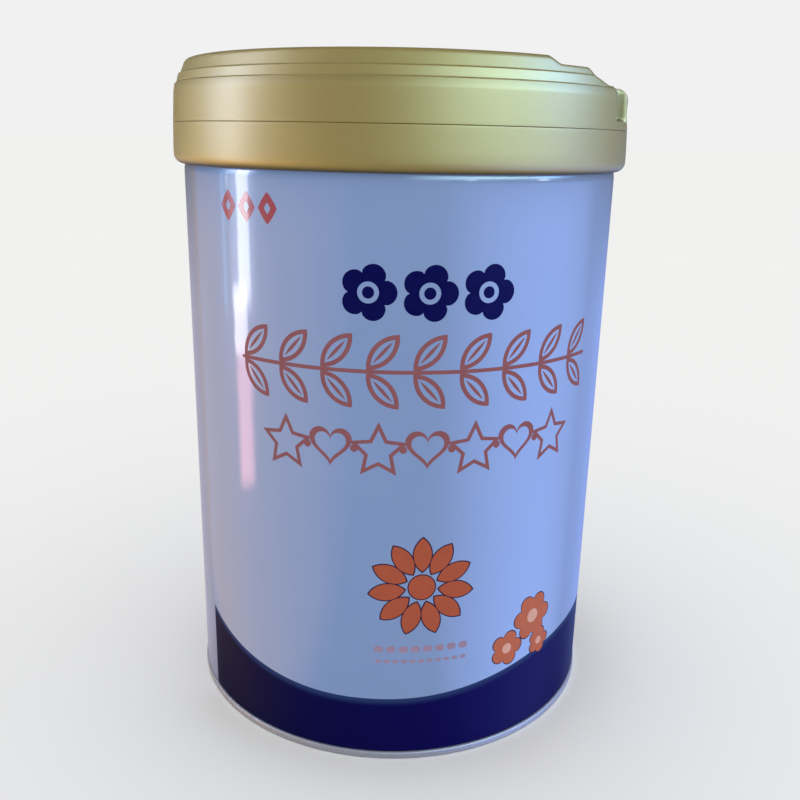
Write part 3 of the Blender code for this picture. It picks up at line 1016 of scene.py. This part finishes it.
def draw_stem(bm):
    pill_shape(bm, 106.0 * MM, 1.0 * MM, 120)


def draw_star(bm):
    stroke = 0.72
    outer = star_outline(5, 8.0 * MM, 3.9 * MM)
    inner = star_outline(5, 8.0 * stroke * MM, 3.9 * stroke * MM)
    ring_between(bm, 0.0, -0.6 * MM, inner, outer, 80)


def draw_heart(bm):
    ring_between(bm, 0.0, 0.0, heart_outline(8.6 * MM), heart_outline(11.6 * MM), 72)


def draw_dot(bm):
    ring_between(bm, 0.0, 0.0, centre_point, disc_outline(1.0 * MM), 24)


def daisy(bm, grown):
    petals = 11
    middle = 9.6 * MM
    for index in range(petals):
        turn = 90.0 + 360.0 * index / petals
        x = middle * math.cos(math.radians(turn))
        y = middle * math.sin(math.radians(turn))
        leaf_shape(bm, x, y, 9.8 * MM + 3.0 * grown, 4.9 * MM + 2.0 * grown, turn)
    ring_between(bm, 0.0, 0.0, centre_point, disc_outline(3.6 * MM + grown), 48, 4)


POSY = ((-5.2, -3.6, 5.4, 5), (4.4, 3.9, 7.2, 6), (7.9, -5.6, 4.2, 5))
POSY_MIDDLE = 0.3


def draw_posy(bm):
    for x, y, radius, petals in POSY:
        inner = disc_outline(radius * POSY_MIDDLE * MM)
        ring_between(bm, x * MM, y * MM, inner, blossom_outline(radius * MM, petals), 90, 4)


def draw_posy_outline(bm):
    for x, y, radius, petals in POSY:
        outer = blossom_outline((radius + 0.34) * MM, petals)
        ring_between(bm, x * MM, y * MM, centre_point, outer, 90, 6)


def draw_posy_middles(bm):
    for x, y, radius, _ in POSY:
        outer = disc_outline(radius * POSY_MIDDLE * MM)
        ring_between(bm, x * MM, y * MM, centre_point, outer, 32)


def draw_lozenge(bm):
    inner = lozenge_outline(2.0 * MM, 2.8 * MM)
    ring_between(bm, 0.0, 0.0, inner, lozenge_outline(5.8 * MM, 7.8 * MM), 48, 3)


def draw_wide_dash(bm):
    pill_shape(bm, 2.6 * MM, 2.0 * MM)


def draw_narrow_dash(bm):
    pill_shape(bm, 1.7 * MM, 1.0 * MM)


def print_row(tree, film, name, draw, ink, copies, pitch, azimuth, height):
    """One printed piece: a motif copied along the wall, with pitch and height in mm."""
    bm = bmesh.new()
    draw(bm)
    bmesh.ops.remove_doubles(bm, verts=bm.verts, dist=WELD_DISTANCE)
    bmesh.ops.recalc_face_normals(bm, faces=bm.faces)
    obj = object_from(bm, name)
    run_tree(
        obj,
        tree,
        {
            "Copies": copies,
            "Pitch": pitch * MM,
            "Azimuth": math.radians(azimuth),
            "Height": height * MM,
            "Wall radius": BODY_RADIUS,
            "Film": film,
            "Sink": INK_SINK,
            "Ink": ink,
        },
    )
    return settle(obj)


def print_all(tree):
    navy = offset_ink("navy offset ink", "02044A", DULL_INK)
    brick = offset_ink("brick offset ink", "86545A", DULL_INK)
    orange = offset_ink("orange offset ink", "A3523C", DULL_INK)
    light_orange = offset_ink("light orange offset ink", "B2634C", DULL_INK)
    peach = offset_ink("peach offset ink", "D0A096", DULL_INK)
    line = offset_ink("dark line ink", "33203A", DULL_INK)
    rose = offset_ink("faint rose ink", "95809A", DULL_INK)
    crimson = offset_ink("crimson offset ink", "8A2446", VARNISH)
    rows = (
        ("print_title", draw_title_blossom, navy, 3, 15.2, 7.3, 134.4),
        ("print_leaf_pairs", draw_leaf_pair, brick, 9, 11.9, 7.8, 114.5),
        ("print_leaf_stem", draw_stem, brick, 1, 0.0, 7.8, 114.5),
        ("print_stars", draw_star, brick, 4, 25.4, 7.8, 94.0),
        ("print_hearts", draw_heart, brick, 3, 25.4, 7.8, 94.0),
        ("print_dots", draw_dot, brick, 6, 12.7, 7.8, 94.0),
        ("print_daisy", partial(daisy, grown=0.0), orange, 1, 0.0, 7.4, 54.6),
        ("print_daisy_outline", partial(daisy, grown=0.32 * MM), line, 1, 0.0, 7.4, 54.6),
        ("print_posy", draw_posy, light_orange, 1, 0.0, 36.5, 34.2),
        ("print_posy_outline", draw_posy_outline, line, 1, 0.0, 36.5, 34.2),
        ("print_posy_middles", draw_posy_middles, peach, 1, 0.0, 36.5, 34.2),
        ("print_lozenges", draw_lozenge, crimson, 3, 7.0, -37.0, 153.3),
        ("print_wide_dashes", draw_wide_dash, rose, 8, 3.4, 7.8, 35.6),
        ("print_narrow_dashes", draw_narrow_dash, rose, 11, 2.4, 7.8, 31.8),
    )
    pieces = []
    for row in rows:
        # The dark lines are printed first, so their film is the lower one.
        film = INK_FILM / 2.0 if row[2] is line else INK_FILM
        pieces.append(print_row(tree, film, *row))
    return pieces


# Studio

FLOOR_RADIUS = 80.0
FLOOR_DROP = 0.05 * MM

# The surround's strength as a light, as the camera sees it, and as gloss mirrors it
SURROUND_LIGHT = 0.95
SURROUND_SEEN = 0.888
SURROUND_GLOSS = 0.12

# The panels pivot about a point in the left or right half of the can, in metres. Each row:
# name, pivot, azimuth, distance, low edge, high edge, width, radiance, softness
LEFT = (-0.0433, -0.0464)
RIGHT = (0.045, -0.045)
NEAR = 0.223
FAR = 0.5
PANELS = (
    ("window", LEFT, -85.5, NEAR, 0.08, 0.50, 0.042, (8.0, 8.0, 8.4), (0.12, 0.04)),
    ("window foot", LEFT, -90.0, NEAR, 0.056, 0.10, 0.052, (8.4, 7.8, 7.8), (0.15, 0.2)),
    ("window glow", LEFT, -88.0, NEAR, -0.02, 0.068, 0.072, (6.4, 2.8, 3.0), (0.35, 0.15)),
    ("window edge", LEFT, -102.6, NEAR, 0.072, 0.50, 0.018, (0.3, 1.1, 2.0), (0.3, 0.05)),
    ("window bar", LEFT, -98.5, NEAR, 0.138, 0.50, 0.014, (2.4, 3.0, 3.6), (0.4, 0.04)),
    ("window haze", LEFT, -87.0, NEAR, 0.072, 0.50, 0.105, (1.7, 2.0, 2.7), (0.3, 0.05)),
    ("window top", LEFT, -89.0, NEAR, 0.160, 0.35, 0.120, (4.6, 6.2, 9.6), (0.4, 0.3)),
    ("warm wall", LEFT, -80.0, FAR, -0.45, 0.20, 1.90, (1.6, 0.87, 0.10), (0.5, 0.2)),
    ("dim corner", LEFT, -150.0, FAR, -0.42, 0.20, 0.75, (0.40, 0.36, 0.48), (0.4, 0.3)),
    ("blue daylight", RIGHT, 71.0, FAR, -0.5, 0.20, 1.42, (1.3, 1.95, 4.7), (0.5, 0.15)),
    ("blue corner", RIGHT, 140.0, FAR, -0.42, 0.20, 0.80, (0.22, 0.36, 0.95), (0.4, 0.3)),
    ("right window", RIGHT, 46.0, FAR, 0.240, 0.65, 1.20, (6.4, 10.8, 11.5), (0.5, 0.2)),
    ("sky", RIGHT, 86.0, FAR, 0.235, 0.65, 0.42, (3.6, 8.0, 17.0), (0.5, 0.2)),
    ("front lamp", RIGHT, 33.0, FAR, 0.225, 0.29, 0.07, (5.0, 6.0, 7.0), (0.3, 0.3)),
    ("side lamp", RIGHT, 77.0, FAR, 0.210, 0.265, 0.09, (8.0, 9.0, 10.0), (0.3, 0.3)),
)


def floor_piece():
    """A plain pale floor. It gives its light back, but doesn't mirror in the varnish."""
    material, add, shader = new_material(
        "pale studio floor", {"Roughness": 0.9, "Specular IOR Level": 0.0}
    )
    point = add("ShaderNodeTexCoord").outputs["Object"]
    grain = add("ShaderNodeTexNoise", {"Vector": point, "Scale": 3.0, "Detail": 2.0})
    tint = add("ShaderNodeMix", {0: grain, 6: srgb("F6F6F5"), 7: srgb("F9F9F8")}, data_type="RGBA")
    fill(shader, {"Base Color": tint})
    bm = bmesh.new()
    bmesh.ops.create_circle(bm, cap_ends=True, segments=96, radius=FLOOR_RADIUS)
    floor = object_from(bm, "studio_floor")
    floor.data.materials.append(material)
    floor.location.z = -FLOOR_DROP
    floor.visible_glossy = False


def soft_box(name, pivot, azimuth, distance, low, high, width, light, soft):
    """An upright light panel at an azimuth from a pivot, in metres, seen in gloss alone.

    light holds its radiance as red, green and blue, and soft the shares of its width and
    height over which its edges fade."""
    data = bpy.data.lights.new(name, "AREA")
    data.shape = "RECTANGLE"
    data.size = width
    data.size_y = high - low
    data.energy = math.pi * width * (high - low)
    data.use_nodes = True
    tree = data.node_tree
    add = partial(add_node, tree)
    parts = add(
        "ShaderNodeSeparateXYZ", {0: add("ShaderNodeNewGeometry").outputs["Parametric"]}
    ).outputs
    strength = 1.0
    for share, fade in zip((parts["X"], parts["Y"]), soft):
        mirrored = add("ShaderNodeMath", {0: 1.0, 1: share}, operation="SUBTRACT")
        nearest = add("ShaderNodeMath", {0: share, 1: mirrored}, operation="MINIMUM")
        faded = add(
            "ShaderNodeMapRange",
            {"Value": nearest, "From Min": 0.0, "From Max": fade},
            interpolation_type="SMOOTHSTEP",
        )
        strength = add("ShaderNodeMath", {0: strength, 1: faded}, operation="MULTIPLY")
    fill(tree.nodes["Emission"], {"Color": (*light, 1.0), "Strength": strength})
    angle = math.radians(azimuth)
    away = Vector((math.sin(angle), -math.cos(angle), 0.0))
    right = Vector((0.0, 0.0, 1.0)).cross(away)
    place = Matrix((right, Vector((0.0, 0.0, 1.0)), away)).transposed().to_4x4()
    place.translation = Vector((*pivot, (low + high) / 2.0)) + away * distance
    obj = link_object(name, data)
    obj.matrix_world = place
    obj.visible_camera = False
    obj.visible_diffuse = False


def studio():
    """An even pale surround that hardly shows in gloss, and soft boxes that show only there."""
    world = bpy.data.worlds.new("pale studio")
    bpy.context.scene.world = world
    world.use_nodes = True
    tree = world.node_tree
    add = partial(add_node, tree)
    rays = add("ShaderNodeLightPath").outputs
    # Seen directly, the surround is as bright as the floor far away, so no horizon shows.
    seen = add(
        "ShaderNodeMapRange",
        {"Value": rays["Is Camera Ray"], "To Min": SURROUND_LIGHT, "To Max": SURROUND_SEEN},
    )
    strength = add("ShaderNodeMix", {0: rays["Is Glossy Ray"], 2: seen, 3: SURROUND_GLOSS})
    fill(tree.nodes["Background"], {"Color": srgb("FEFEFE"), "Strength": strength})
    for panel in PANELS:
        soft_box(*panel)


def camera():
    data = bpy.data.cameras.new("camera")
    data.sensor_fit = "HORIZONTAL"
    data.sensor_width = SENSOR_WIDTH
    data.lens = SENSOR_WIDTH * FOCAL_PIXELS / PHOTO_SIZE
    data.clip_start = 0.01
    turn = Matrix.Rotation(CAMERA_YAW, 3, "Z")
    ahead = turn @ Vector((0.0, math.cos(CAMERA_PITCH), -math.sin(CAMERA_PITCH)))
    level = turn @ Vector((1.0, 0.0, 0.0))
    above = level.cross(ahead)
    right = math.cos(CAMERA_ROLL) * level + math.sin(CAMERA_ROLL) * above
    upward = -math.sin(CAMERA_ROLL) * level + math.cos(CAMERA_ROLL) * above
    place = Matrix((right, upward, -ahead)).transposed().to_4x4()
    place.translation = CAMERA_PLACE
    obj = link_object("camera", data)
    obj.matrix_world = place
    bpy.context.scene.camera = obj


def dress(piece, slot, *nodes):
    """Let a piece ride on the part and stand for its nodes, which are hidden; its slot is not used."""
    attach(piece, "root")
    if nodes:
        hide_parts(*nodes)


def main():
    bpy.context.scene.view_settings.view_transform = "Standard"
    camera()
    studio()
    floor_piece()
    tinplate = bare_tinplate()
    gold = gold_plastic()
    lathe = turned_tree()
    wall = turned("tin_wall_sheet", wall_profile(), lathe, printed_tinplate())
    dress(wall, "wall", "tin_wall")
    base = turned("base_end_sheet", base_profile(), lathe, tinplate)
    dress(base, "base", "base_end")
    dress(weld_seam(tinplate), "base")
    dress(lid_ring(gold), "lid", "lid_ring")
    dress(lid_cover(gold), "lid", "lid_cover")
    dress(hinge_flap(gold), "lid")
    for piece in print_all(print_tree()):
        dress(piece, "wall")


main()
